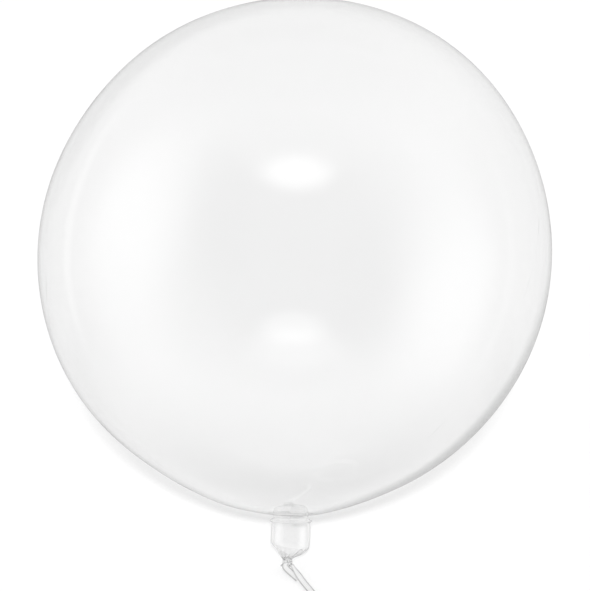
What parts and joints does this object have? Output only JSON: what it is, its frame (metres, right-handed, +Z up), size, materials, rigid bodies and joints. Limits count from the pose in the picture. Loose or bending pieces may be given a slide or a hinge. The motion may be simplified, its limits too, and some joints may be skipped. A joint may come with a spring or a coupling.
{
  "type": "clear bubble balloon",
  "caption": "Clear round bubble balloon lying on a surface: a thin film globe with a puffed neck tied off by a narrow ribbon, whose loose length is wound in a flat coil.",
  "frame": {"origin": "middle of the small flat spot that the globe rests on, at the bottom centre of the balloon without its loose ribbon", "axes": "+Z up; the neck and the ribbon point towards -Y, the neck 52 degrees below level; +X to the right of someone who faces the neck's side looking along +Y"},
  "size_m": [0.4, 0.4551, 0.3982],
  "materials": {
    "clear_film": "smooth clear stretched film",
    "ribbon": "glossy pale curling ribbon"
  },
  "bodies": {
    "root": {"balloon": "clear_film", "ribbon_tie": "ribbon", "ribbon": "ribbon", "ribbon_coil": "ribbon"}
  },
  "joints": []
}
